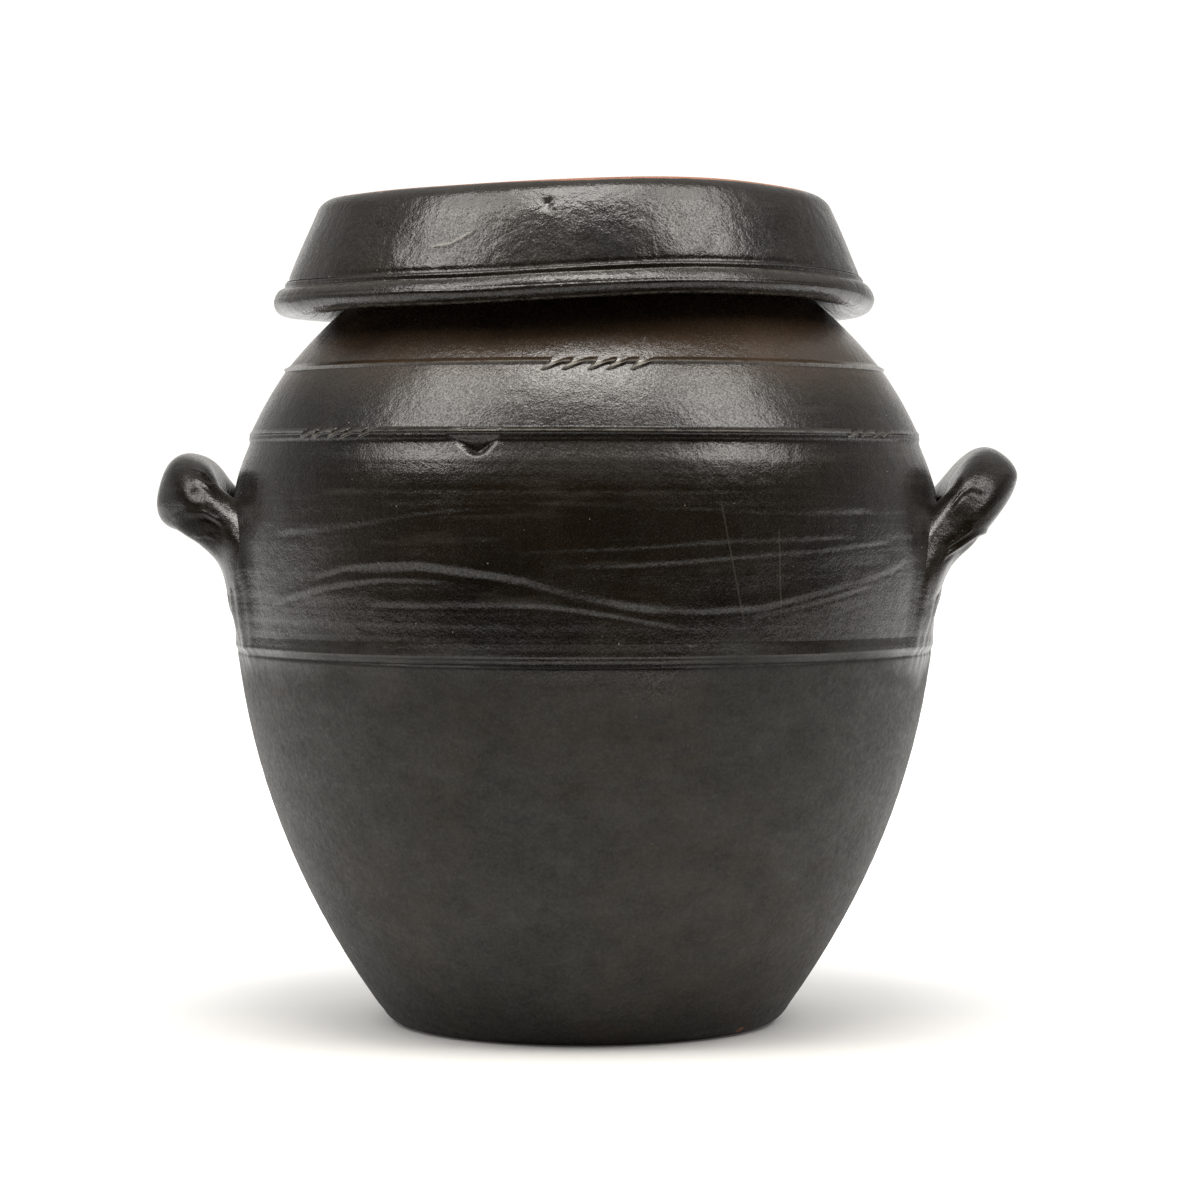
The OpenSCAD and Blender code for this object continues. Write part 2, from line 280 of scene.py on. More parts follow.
def drawn_relief(angle, z, s):
    """Height of the drawn lines: a bell-shaped ridge with a longer slope above its crest, and
    a groove below it.

    Each line is its height as a smoothed function of the angle, and is drawn a second time,
    mirrored, on the back of the jar. Its ends fade out."""
    height = np.zeros(z.shape)
    for half, depth, points in DRAWN:
        at, level = seen(points, lambda v: wall_radius(v, s))
        dense = np.linspace(at[0], at[-1], LINE_POINTS)
        line = np.interp(dense, at, level)
        reach = int(LINE_POINTS * LINE_EASE / max(at[-1] - at[0], 6)) + 1
        kernel = np.hanning(2 * reach + 3)
        padded = np.pad(line, reach + 1, mode="reflect", reflect_type="odd")
        line = np.convolve(padded, kernel / kernel.sum(), mode="valid")
        for turned_to in (angle, turn_gap(180, angle) + 4):
            d = z - np.interp(turned_to, dense, line)
            ridge = bell(d, np.where(d > 0, 3.4 * half, 1.35 * half))
            groove = bell(d + 2.6 * half, half)
            press = 1.05 + 0.4 * np.sin(np.radians(turned_to) * 9 + half * 20)
            height += between(turned_to, at[0], at[-1], 5) * depth * press * (ridge - 0.35 * groove)
    return height


def nick_cut(name, angle, along):
    """How far the nicks lower a band's edge, from 0 to 1, and a pale stroke in each cut: glaze scraped
    thinner, and a painted highlight.

    In each tooth the edge is pressed down at its left side and climbs back to the right; the
    stroke leans with the height along the band."""
    cut = np.zeros(np.broadcast(angle, along).shape)
    scraped_and_highlight = 0 * cut
    leaned = angle - 0.55 * along
    for first, last, tooth, depth in NICKS.get(name, []):
        share = turn_gap(leaned, first) / tooth
        inside = (share > 0) & (share < round((last - first) / tooth))
        part = share - np.floor(share) + 0.1 * np.sin(2.4 * np.floor(share))
        cut = np.where(inside, depth * (1 - smooth(part / 0.8)) * smooth(part / 0.1), cut)
        # Pale stroke in each cut: scraped glaze and a painted highlight
        scraped_and_highlight = np.where(inside, depth ** 4 * bell(part - 0.22, 0.21), scraped_and_highlight)
    return cut, scraped_and_highlight * smooth((2.2 - np.abs(along)) / 0.6)


def jar_relief(angle, z, s, r):
    """Height of everything that departs from the plain turned outside: rings, slow waves, drawn
    lines, dents, and the hollow, notch, crease and swellings beside the bands, all added up."""
    turn = np.radians(angle)
    # Throwing rings: three sines of the height, drifting around the jar
    rings = (np.sin(z * 1.55 + 0.6 * np.sin(turn)) * 0.5 + np.sin(z * 0.83 + turn * 1.0 + 2) * 0.9
             + np.sin(z * 3.1 + 0.9 * np.sin(turn * 2)) * 0.25)
    height = r["rings"] * rings * (0.6 + 0.4 * np.sin(z * 0.11 + turn))
    height += 0.22 * waves(np.sin(turn) * 2, z / 45 + np.cos(turn), 4)
    height += r["drawn"] * drawn_relief(angle, z, s)
    for level, size in SHOULDER_LINES:
        height += size * bell(z - level, 0.7)
    for at, level, wide, tall, size in DENTS:
        height += size * bell(arc(angle, at, DENT_RADIUS), wide) * bell(z - level, tall)
    shoulder, belly = BANDS["shoulder_band"][0], BANDS["belly_band"][0]
    under = z - shoulder + HOLLOW_DROP
    height -= HOLLOW * bell(under, np.where(under > 0, HOLLOW_UP, HOLLOW_DOWN))
    # The notch is a triangle, point down, that sinks deeper towards its point and leans a little
    drop = shoulder - 0.4 - z
    along = arc(angle, NOTCH_AT, NOTCH_RADIUS) - 0.25 * drop
    notch = smooth((NOTCH_HALF - NOTCH_TAPER * drop - np.abs(along)) / 2.0 + 0.5) * smooth(drop / 0.5)
    notch = notch * smooth((NOTCH_TALL + 0.8 - drop) / 1.2)
    height -= NOTCH_SLOPE * np.clip(drop, 0, NOTCH_TALL) * notch
    front = np.clip(np.cos(turn), 0, 1) ** 2
    height -= (CREASE + CREASE_FRONT * front) * bell(z - belly + CREASE_DROP, CREASE_WIDE)
    # The wall swells softly under each band
    for level, half in BANDS.values():
        height += 0.2 * bell(z - level, half + 2.4)
    return height


# ---- handles ----

# Half of each handle from the crown to the tip of its tail: sideways, out from the wall, up from
# the widest place, half thickness, half width
RIGHT_HALF = np.array([
    (0, 17.6, 22.6, 10.2, 12.4), (15.5, 17.0, 20.8, 10.2, 11.8), (26.7, 13.4, 15.0, 9.4, 10.0),
    (31.0, 7.6, 7.2, 8.4, 9.2), (33.5, 1.6, -1.8, 6.4, 9.4), (37.0, -2.0, -12.4, 4.8, 9.6),
    (40.5, -4.0, -21.4, 3.2, 5.4)])
LEFT_HALF = np.array([
    (0, 17.4, 19.4, 9.4, 13.4), (15.5, 16.6, 18.2, 9.4, 12.8), (26.0, 12.8, 13.6, 8.0, 10.4),
    (30.0, 5.8, 7.2, 6.8, 9.4), (33.0, 0.2, -1.4, 5.2, 9.2), (36.5, -2.6, -12.4, 4.2, 9.0),
    (40.0, -4.0, -21.4, 3.2, 5.4)])
# Points of the roll's path between two rows
STATIONS = 16
# Each handle: its half, its lean in degrees, and its side
HANDLES = {"right_handle": (RIGHT_HALF, 36.0, 1.0), "left_handle": (LEFT_HALF, -16.0, -1.0)}
SQUARENESS = 2.5
# Marks on the handles by side: middle, half width and half height in picture pixels, height in mm
PITS = {1: [(972, 497, 17, 15, -0.9), (955, 520, 14, 15, -0.7), (1012, 474, 9, 8, 0.5),
            (962, 478, 5, 5, 0.3)],
        -1: [(197, 493, 8, 7, -0.9), (183, 500, 14, 12, 0.35), (222, 530, 14, 9, -0.4),
             (200, 470, 12, 8, 0.3)]}
# Ridges: their points in the picture from left to right, half width in pixels, height in mm
RIDGES = {1: [([(942, 557), (962, 545), (978, 534), (992, 530)], 2.2, 0.6),
              ([(945, 548), (960, 538), (975, 528)], 1.6, 0.3),
              ([(950, 508), (962, 492), (972, 486), (990, 492)], 2.0, 0.35)],
          -1: [([(172, 521), (186, 514), (205, 513), (222, 522)], 2.4, 0.55),
               ([(192, 536), (205, 535), (216, 538)], 1.6, 0.45),
               ([(193, 470), (203, 474), (212, 481)], 1.3, 0.35),
               ([(192, 478), (202, 482), (212, 489)], 1.3, 0.35)]}


def handle_frames(half, lean, side, s):
    """Middle, outward and crosswise directions and half sizes along the clay roll.

    The roll's middle lies at the wall's radius plus its reach; each section is square to the
    path, with its thin side turned by the lean."""
    legs = half[:0:-1] * np.array([-1, 1, 1, 1, 1])
    rows = spline(np.concatenate([legs, half]), STATIONS)
    z = s["belly_height"] + rows[:, 2]
    reach = wall_radius(z, s) + rows[:, 1]
    path = np.stack([np.sqrt(reach ** 2 - rows[:, 0] ** 2), rows[:, 0], z], 1)
    along = np.gradient(path, axis=0)
    along /= np.linalg.norm(along, axis=1)[:, None]
    radial = path * np.array([1, 1, 0])
    radial /= np.linalg.norm(radial, axis=1)[:, None]
    face = radial * math.cos(math.radians(lean)) - np.array([0, 0, math.sin(math.radians(lean))])
    out = face - (face * along).sum(1)[:, None] * along
    out /= np.linalg.norm(out, axis=1)[:, None]
    across = np.cross(along, out)
    flip = np.array([side, side, 1])
    return path * flip, out * flip, across * flip, rows[:, 3:5]


def roll_distance(points, frames):
    """Distance of points from the surface of the clay roll, negative inside it.

    The nearest station is found, and the point's offset there is measured against the
    section's rounded rectangle."""
    path, out, across, half = frames
    near = np.empty(len(points), int)
    for start in range(0, len(points), 4000):
        block = points[start:start + 4000]
        gap = ((block[:, None] - path[None]) ** 2).sum(2)
        near[start:start + 4000] = gap.argmin(1)
    offset = points - path[near]
    a, b = (offset * out[near]).sum(1), (offset * across[near]).sum(1)
    size = (np.abs(a / half[near, 0]) ** SQUARENESS
            + np.abs(b / half[near, 1]) ** SQUARENESS) ** (1 / SQUARENESS)
    size = np.maximum(size, 1e-6)
    return np.linalg.norm(offset, axis=1) * (1 - 1 / size)


def smeared(d1, d2, reach):
    """Height of the fillet between two surfaces at distances d1 and d2: a parabola that is a
    quarter of the reach where they meet and nothing where they are one reach apart."""
    return reach / 4 * np.clip(1 - np.abs(d1 - d2) / reach, 0, 1) ** 2


def foot_relief(angle, z, base, s, r):
    """Clay smeared up to the handles: a fillet around each foot and soft streaks below it."""
    height = np.zeros(z.shape)
    for half, lean, side in HANDLES.values():
        middle = 90 * side
        # Only the wall close to a handle is worked out
        near = (np.abs(turn_gap(angle, middle)) < 38) & (z > 108) & (z < 212)
        if not near.any():
            continue
        frames = handle_frames(half, lean, side, s)
        a = np.radians(angle[near])
        lift = np.zeros(near.sum())
        for _ in range(3):
            radius = base[near] + lift
            points = np.stack([radius * np.sin(a), -radius * np.cos(a), z[near]], 1)
            d2 = np.maximum(roll_distance(points, frames), 0)
            lift = np.minimum(smeared(lift * 0, d2 + lift, r["fillet"]) * 1.25, r["fillet"] / 4)
        height[near] += lift
        # Streaks where wet clay was wiped down from each leg
        for leg in (-1, 1):
            along = arc(angle, middle + leg * 17.0, base) - leg * 0.16 * (150 - z)
            grooves = 0.5 + 0.5 * np.cos(along * 1.05 + 1.3 * np.sin(z / 9 + leg))
            height += between(z, 118, 176, 22) * bell(along, 12.5) * (0.75 + 0.5 * grooves)
    return height


def finger_marks(points, side):
    """Height of thumb and finger marks on a handle: soft pits, flats and ridges at picture places."""
    px = MIDDLE + FOCAL * (points[..., 0] - EYE[0]) / (points[..., 1] - EYE[1])
    py = HORIZON - FOCAL * (points[..., 2] - EYE[2]) / (points[..., 1] - EYE[1])
    height = np.zeros(px.shape)
    for x, y, wide, tall, size in PITS[side]:
        height += size * bell(px - x, wide) * bell(py - y, tall)
    for line, wide, size in RIDGES[side]:
        at, level = np.array(line).T
        off = py - np.interp(px, at, level)
        height += size * between(px, at[0], at[-1], 6) * (bell(off, wide) - 0.6 * bell(off - 2 * wide, wide))
    return height * smooth((-points[..., 1] - 4) / 10)


def outside(angle, z, s, r):
    """Radius of the finished outside at angle and height."""
    base = wall_radius(z, s)
    return base + jar_relief(angle, z, s, r) + foot_relief(angle, z, base, s, r)


# ---- meshes ----

def put(name, body, nodes, points, marks, material, wrap=False, tips=False, sharp=38.0):
    """Makes a piece from a grid of points in millimetres, closed around its second axis.

    wrap also closes the grid along its first axis; tips closes each end onto its own middle.
    marks are numbers by name for each point, kept as mesh attributes. The faces are turned
    so that the volume inside them comes out positive."""
    rows, cols = points.shape[:2]
    index = np.arange(rows * cols).reshape(rows, cols)
    after = np.roll(index, -1, 1)
    if wrap:
        low, low_after, high, high_after = index, after, np.roll(index, -1, 0), np.roll(after, -1, 0)
    else:
        low, low_after, high, high_after = index[:-1], after[:-1], index[1:], after[1:]
    quads = np.stack([low, low_after, high_after, high], -1).reshape(-1, 4)
    verts = points.reshape(-1, 3)
    fans = np.zeros((0, 3), int)
    values = {key: np.broadcast_to(v, (rows, cols)).reshape(-1) for key, v in marks.items()}
    if tips:
        verts = np.concatenate([verts, points[[0, -1]].mean(1)])
        first, last = rows * cols, rows * cols + 1
        fans = np.concatenate([
            np.stack([np.full(cols, first), after[0], index[0]], 1),
            np.stack([np.full(cols, last), index[-1], after[-1]], 1)])
        values = {key: np.concatenate([v, [v[:cols].mean(), v[-cols:].mean()]])
                  for key, v in values.items()}
    a, b, c, d = (verts[quads[:, k]] for k in range(4))
    volume = (np.cross(a, b) * c).sum() + (np.cross(a, c) * d).sum()
    if tips:
        volume += (np.cross(verts[fans[:, 0]], verts[fans[:, 1]]) * verts[fans[:, 2]]).sum()
    if volume < 0:
        quads, fans = quads[:, ::-1], fans[:, ::-1]
    mesh = bpy.data.meshes.new(name)
    loops = np.concatenate([quads.reshape(-1), fans.reshape(-1)])
    starts = np.concatenate([np.arange(len(quads)) * 4, len(quads) * 4 + np.arange(len(fans)) * 3])
    mesh.vertices.add(len(verts))
    mesh.vertices.foreach_set("co", (verts / 1000).astype(np.float32).reshape(-1))
    mesh.loops.add(len(loops))
    mesh.loops.foreach_set("vertex_index", loops.astype(np.int32))
    mesh.polygons.add(len(starts))
    mesh.polygons.foreach_set("loop_start", starts.astype(np.int32))
    mesh.update(calc_edges=True)
    mesh.validate()
    mesh.shade_smooth()
    mesh.set_sharp_from_angle(angle=math.radians(sharp))
    for key, v in values.items():
        mesh.attributes.new(key, "FLOAT", "POINT").data.foreach_set("value", v.astype(np.float32))
    mesh.materials.append(material)
    piece = bpy.data.objects.new(name, mesh)
    bpy.context.scene.collection.objects.link(piece)
    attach(piece, body)
    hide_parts(*nodes)
    return piece


# Points around each piece
COLUMNS = {"floor": 480, "lower_wall": 860, "upper_wall": 620, "rim": 540, "narrow_band": 1700,
           "belly_band": 1100, "handle": 120, "lid": 900}


def turned(radius, z, angle, shift=0.0):
    """Points at the given radius, height and angle from the front, about an axis moved along X."""
    a = np.radians(angle)
    return np.stack(np.broadcast_arrays(radius * np.sin(a) + shift, -radius * np.cos(a), z), -1)


def angles(count):
    """Angles around the jar, with the grid's seam at the back."""
    return np.linspace(-180, 180, count, endpoint=False)[None, :]


def steps(first, last, count, angle):
    """A grid whose rows step evenly from first to last, the same at every angle."""
    return np.linspace(first, last, count)[:, None] + 0 * angle


def rising(stops, counts):
    """Heights that rise through the stops, with its own number of steps in each stretch."""
    parts = [np.linspace(low, high, count, endpoint=False)
             for low, high, count in zip(stops, stops[1:], counts)]
    return np.append(np.concatenate(parts), stops[-1])


def shell(heights, inner_heights, count, s, r):
    """Grid of a wall belt: up the finished outside, down the inside with its finger rings."""
    angle = angles(count)
    z, zi = heights[:, None] + 0 * angle, inner_heights[:, None] + 0 * angle
    turn = np.radians(angle)
    ridges = 0.35 * np.sin(zi * 0.62 + turn) + 0.12 * np.sin(zi * 1.9 - turn)
    inside = inner_radius(zi, s) - ridges * smooth((250 - zi) / 12)
    return np.concatenate([turned(outside(angle + 0 * z, z, s, r), z, angle), turned(inside, zi, angle)])


# ---- shader nodes ----

def feed(made, inputs):
    """Fills a node's inputs: a socket is linked, a number or a colour becomes the value."""
    for key, value in inputs.items():
        socket = made.inputs[key]
        if isinstance(value, NodeSocket):
            made.id_data.links.new(value, socket)
        else:
            socket.default_value = (*value, 1.0) if socket.type == "RGBA" else value


def node(tree, kind, inputs=None, **settings):
    """A shader node with its settings and inputs."""
    made = tree.nodes.new(kind)
    for key, value in settings.items():
        setattr(made, key, value)
    feed(made, inputs or {})
    return made


def blend(factor, first, second):
    """Mix of two colours, each a socket or a plain colour, by a factor socket."""
    inputs = {0: factor, 6: first, 7: second}
    return node(factor.id_data, "ShaderNodeMix", inputs, data_type="RGBA").outputs[2]


def mixed(factor, first, second):
    """Mix of two numbers by a factor socket."""
    return node(factor.id_data, "ShaderNodeMix", {0: factor, 2: first, 3: second}).outputs[0]


def spread(value, low, high, out_low=0.0, out_high=1.0):
    """Maps a socket from low..high to out_low..out_high, held at the ends."""
    inputs = {0: value, 1: low, 2: high, 3: out_low, 4: out_high}
    return node(value.id_data, "ShaderNodeMapRange", inputs).outputs[0]


def maths(operation, a, b=0.0):
    """Arithmetic on a socket and another socket or number."""
    return node(a.id_data, "ShaderNodeMath", {0: a, 1: b}, operation=operation).outputs[0]


def times(a, b):
    """Product of a socket and another socket or number."""
    return maths("MULTIPLY", a, b)


def noise(where, scale, detail=4.0, rough=0.55):
    """Fractal noise at a scale per metre."""
    inputs = {"Vector": where, "Scale": scale, "Detail": detail, "Roughness": rough}
    return node(where.id_data, "ShaderNodeTexNoise", inputs).outputs[0]


def drawn_out(where, x, y, z, detail, rough=0.55):
    """Fractal noise with a scale of its own along x, y and z."""
    squeezed = node(where.id_data, "ShaderNodeMapping", {"Vector": where, "Scale": (x, y, z)})
    return noise(squeezed.outputs[0], 1.0, detail, rough)


def along_axes(where):
    """The x, y and z of a position."""
    return node(where.id_data, "ShaderNodeSeparateXYZ", {0: where}).outputs


def mark(where, name):
    """A number kept on the mesh."""
    return node(where.id_data, "ShaderNodeAttribute", attribute_name=name).outputs["Fac"]


def bumped(shader, layers):
    """Stacks bump layers, each (height socket, strength, distance in metres)."""
    normal = {}
    for height, strength, distance in layers:
        inputs = {"Height": height, "Strength": strength, "Distance": distance, **normal}
        normal = {"Normal": node(shader.id_data, "ShaderNodeBump", inputs).outputs[0]}
    feed(shader, normal)


def new_material(name):
    """An empty node material with a Principled shader and Object coordinates."""
    material = bpy.data.materials.new(name)
    material.use_nodes = True
    tree = material.node_tree
    tree.nodes.clear()
    shader = node(tree, "ShaderNodeBsdfPrincipled")
    node(tree, "ShaderNodeOutputMaterial", {0: shader.outputs[0]})
    return material, shader, node(tree, "ShaderNodeTexCoord").outputs["Object"]


# ---- glazes, clay and paper ----

# Linear colours: stain and dust on the dry glaze, grains in the glossy glaze and a warmer brown under the
# jar's neck that also paints bounce light into the lid's shade, pale specks on it, grit in the bare clay,
# and the unlit end of the studio
STAIN, DUST = (0.0205, 0.0135, 0.0075), (0.042, 0.040, 0.032)
GLITTER, WARM_AND_BOUNCE_LIGHT, SPECK = (0.07, 0.052, 0.034), (0.064, 0.040, 0.024), (0.28, 0.25, 0.22)
GRIT = (0.5, 0.3, 0.2)
UNLIT, DARK_ROOM, PALE_ROOM = (0.03, 0.03, 0.03), (0.012, 0.011, 0.010), (1.0, 0.985, 0.95)
GLAZE_IOR = 1.52
# Roughness of bare clay, and the faint sheen of the underside
CLAY_ROUGH, FOOT_SHEEN = 0.86, 0.21
# Heights in metres: the warmer brown with its painted bounce light sets in and is full, and the foot's loss
# of sheen ends
WARM_FROM, WARM_TO, DIM_TO = 0.214, 0.235, 0.035
# Lid and rim: how much smoother their glaze is, and how uneven its surface is next to the wall's
SMOOTHER, MORE_UNEVEN = 0.02, 1.6
# Fine scratches in the front of the wall, in mm: x at the top, x at the bottom, top and bottom
SCRATCHES = [(43.7, 51.7, 184.0, 142.7), (62.9, 63.8, 175.0, 143.0)]


def dry_glaze(where, finish, body):
    """Colour and roughness of the dry glaze low on the jar: dusty grey-brown over the body
    colour, with scuffs, brown stains and a fine grain."""
    dusty = spread(noise(where, 34, 8, 0.75), 0.3, 0.72, 0.7, 1.0)
    scuffs = spread(drawn_out(where, 150, 150, 210, 9, 0.85), 0.4, 0.6)
    dry = blend(scuffs, [0.45 * c for c in finish.matt_grey], [1.4 * c for c in finish.matt_grey])
    stain = times(spread(noise(where, 14, 4), 0.46, 0.62),
                  spread(drawn_out(where, 90, 90, 150, 7, 0.75), 0.4, 0.6, 0.1, 0.9))
    dry = blend(stain, dry, STAIN)
    dry = blend(spread(noise(where, 900, 5, 0.8), 0.44, 0.64, 0.0, 0.5), dry, DUST)
    dull = spread(noise(where, 500, 6, 0.75), 0.34, 0.66, finish.dull - 0.09, finish.dull + 0.11)
    return blend(dusty, body, dry), dull


def wet_glaze(where, finish, gloss, uneven):
    """Colour, roughness, cloud and bump layers of the glossy glaze: cloudy brown with pale run
    streaks and fine pale grains, over orange peel, dimples and slow swells."""
    cloud = spread(noise(where, 22, 6), 0.36, 0.66)
    body = blend(cloud, finish.glaze_dark, finish.glaze_brown)
    body = blend(spread(drawn_out(where, 30, 30, 240, 4), 0.58, 0.8, 0.0, 0.1), body, finish.edge_glaze_and_highlight)
    body = blend(spread(noise(where, 1700, 2, 0.6), 0.6, 0.78, 0.0, 0.3), body, GLITTER)
    patches = spread(noise(where, 46, 6, 0.7), 0.3, 0.72, gloss - 0.04 * uneven, gloss + 0.09 * uneven)
    rough = maths("ADD", patches, spread(noise(where, 1900, 2, 0.6), 0.35, 0.65, -0.05, 0.07))
    peel = (noise(where, 1500, 2, 0.5), 0.9, 0.000085)
    dimples = (noise(where, 330, 3, 0.6), 0.11 * uneven, 0.0012)
    swells = (noise(where, 90, 4, 0.55), 0.28 * uneven, 0.0012)
    return body, rough, cloud, [peel, dimples, swells]


def scratched(where, body, finish):
    """Faint upright scratches: thin pale lines between two heights on the side towards -Y."""
    x, y, z = along_axes(where)
    front = maths("LESS_THAN", y, 0.0)
    for x0, x1, top, bottom in SCRATCHES:
        line = spread(z, bottom / 1000, top / 1000, x1 / 1000, x0 / 1000)
        off = maths("ABSOLUTE", maths("SUBTRACT", x, line))
        fade = times(spread(z, bottom / 1000, bottom / 1000 + 0.004),
                     spread(z, top / 1000, top / 1000 - 0.004))
        here = times(spread(off, 0.0001, 0.00035, 0.14, 0.0), fade)
        body = blend(times(here, front), body, finish.edge_glaze_and_highlight)
    return body


def glaze_material(name, finish, matt_from=None, matt_to=None, smoother=0.0, rings=0.07, uneven=1.0):
    """Iron-brown ash glaze: cloudy dark body, paler where the mesh is marked with thinned glaze and
    painted highlights, with less sheen where it is marked dull (drier glaze, and painted shade on the
    handles' undersides), with pale specks, scratches and orange peel. Between two heights in metres it turns
    into dry grey-brown glaze."""
    material, shader, where = new_material(name)
    body, rough, cloud, layers = wet_glaze(where, finish, finish.gloss - smoother, uneven)
    thin_and_highlight = mark(where, "thin_and_highlight")
    # Edge glaze where the mark is high, broken by noise: glaze run off the edges, and a faint painted
    # highlight along them
    run_off_and_highlight = times(thin_and_highlight, spread(noise(where, 260, 3), 0.3, 0.62))
    # Fine pits take away part of the sheen, and the dull mark takes more, painting shade on the handles'
    # undersides
    sheen = times(spread(noise(where, 1500, 3, 0.7), 0.36, 0.62, 0.26, 0.74),
                  spread(mark(where, "dull"), 0.0, 1.0, 1.0, 0.14))
    few = spread(noise(where, 110, 2), 0.55, 0.6)
    if matt_from is not None:
        z = along_axes(where)[2]
        level = maths("ADD", z, spread(noise(where, 14, 4), 0.3, 0.7, -0.012, 0.012))
        matt = spread(level, matt_from, matt_to)
        # Warmer, lighter brown just under the neck: a warmer glaze, and painted bounce light in the lid's
        # shade
        warm_and_bounce_light = times(spread(z, WARM_FROM, WARM_TO, 0.0, 0.9), spread(cloud, 0.0, 1.0, 0.5, 1.0))
        body = blend(warm_and_bounce_light, body, WARM_AND_BOUNCE_LIGHT)
        dry, dull = dry_glaze(where, finish, body)
        body = blend(matt, body, dry)
        rough = mixed(matt, rough, dull)
        # The dry glaze is rubbed in patches, has fewer specks and loses its sheen towards the foot
        rubbed = spread(drawn_out(where, 45, 45, 70, 8, 0.72), 0.36, 0.64, 0.28, 0.44)
        sheen = times(mixed(matt, sheen, rubbed), spread(z, 0.0, DIM_TO, 0.5, 1.0))
        few = times(few, spread(matt, 0.0, 1.0, 1.0, 0.2))
    # Edge and pale glaze where the mesh is marked thin_and_highlight: glaze thinned at edges and by the
    # nicks, and painted highlights on the band edges, nick strokes, lid and bead
    body = blend(run_off_and_highlight, body, finish.edge_glaze_and_highlight)
    body = blend(spread(thin_and_highlight, 0.5, 1.0, 0.0, 0.85), body, finish.pale_glaze_and_highlight)
    cells = node(where.id_data, "ShaderNodeTexVoronoi", {"Vector": where, "Scale": 300.0})
    speck = spread(cells.outputs["Distance"], 0.04, 0.08, 1.0, 0.0)
    body = blend(times(speck, few), body, SPECK)
    feed(shader, {"Base Color": scratched(where, body, finish), "Roughness": rough,
                  "Specular IOR Level": sheen, "IOR": GLAZE_IOR})
    turned_lines = (drawn_out(where, 14, 14, 620, 3), rings, 0.0003)
    bumped(shader, [*layers, turned_lines])
    return material


def clay_material(name, finish, dry=False):
    """Bare fired clay where the mesh is marked bare, grainy red-brown and flashed darker in
    clouds, with glaze beside it that thins at its edge.

    The glaze is glossy, or dry like the wall above the foot."""
    material, shader, where = new_material(name)
    cloud = spread(noise(where, 26, 6, 0.6), 0.34, 0.68)
    grain = noise(where, 900, 3, 0.6)
    clay = blend(cloud, finish.clay_red, finish.clay_dark)
    clay = blend(spread(grain, 0.55, 0.72, 0.0, 0.5), clay, GRIT)
    glaze, rough, _, layers = wet_glaze(where, finish, finish.gloss - SMOOTHER, MORE_UNEVEN)
    edge = maths("ADD", mark(where, "bare"), spread(noise(where, 160, 3), 0.3, 0.7, -0.18, 0.18))
    bare = spread(edge, 0.42, 0.58)
    rim = spread(maths("ABSOLUTE", maths("SUBTRACT", edge, 0.47)), 0.0, 0.22, 0.3, 0.0)
    if dry:
        glaze, rough = dry_glaze(where, finish, glaze)
        rim = times(rim, 0.25)
        feed(shader, {"Specular IOR Level": FOOT_SHEEN})
    body = blend(rim, blend(bare, glaze, clay), finish.edge_glaze_and_highlight)
    feed(shader, {"Base Color": body, "Roughness": maths("MAXIMUM", rough, times(bare, CLAY_ROUGH)),
                  "IOR": GLAZE_IOR})
    bumped(shader, [*layers, (grain, 0.3, 0.0003)])
    return material


def paper_material(name, pale, rough):
    """White studio paper that glows behind the jar like a lit light table, and turns dark grey
    some way in front of it, where the photographer stands."""
    material, shader, where = new_material(name)
    far = node(where.id_data, "ShaderNodeVectorMath", {0: where}, operation="LENGTH").outputs["Value"]
    y = along_axes(where)[1]
    front, behind = spread(y, -0.36, -0.75), spread(y, -0.13, 0.06)
    glow = times(spread(far, 0.03, 0.35, 0.0, 0.85), behind)
    feed(shader, {"Base Color": blend(front, pale, UNLIT), "Roughness": rough,
                  "Emission Color": (1, 1, 1), "Emission Strength": glow})
    return material


# Each material of the jar: its maker, and how it differs from that maker's plain kind. The
# glaze of the wall turns dry between 136 and 122 mm above the ground.
MATERIALS = {
    "body_glaze": (glaze_material, {"matt_from": 0.136, "matt_to": 0.122}),
    "lid_glaze": (glaze_material, {"smoother": SMOOTHER, "rings": 0.0, "uneven": MORE_UNEVEN}),
    "clay_and_glaze": (clay_material, {}),
    "foot_clay": (clay_material, {"dry": True}),
}


def material_of(context, name):
    """The jar's material of that name, made on first use."""
    maker, settings = MATERIALS[name]
    return bpy.data.materials.get(name) or maker(name, context.scene.storage_jar_finish, **settings)


# ---- pieces ----

class JarOperator:
    """What every operator of the jar shares"""
    bl_options = {"REGISTER", "UNDO"}

    def sizes(self, context):
        """Sizes and relief in millimetres."""
        scene = context.scene
        return millimetres(scene.storage_jar_sizes), millimetres(scene.storage_jar_relief)


# Side of the coil in the inside corner, and the angle of the chip on the foot
COIL_LEG, CHIP_AT = 7.0, 50.0


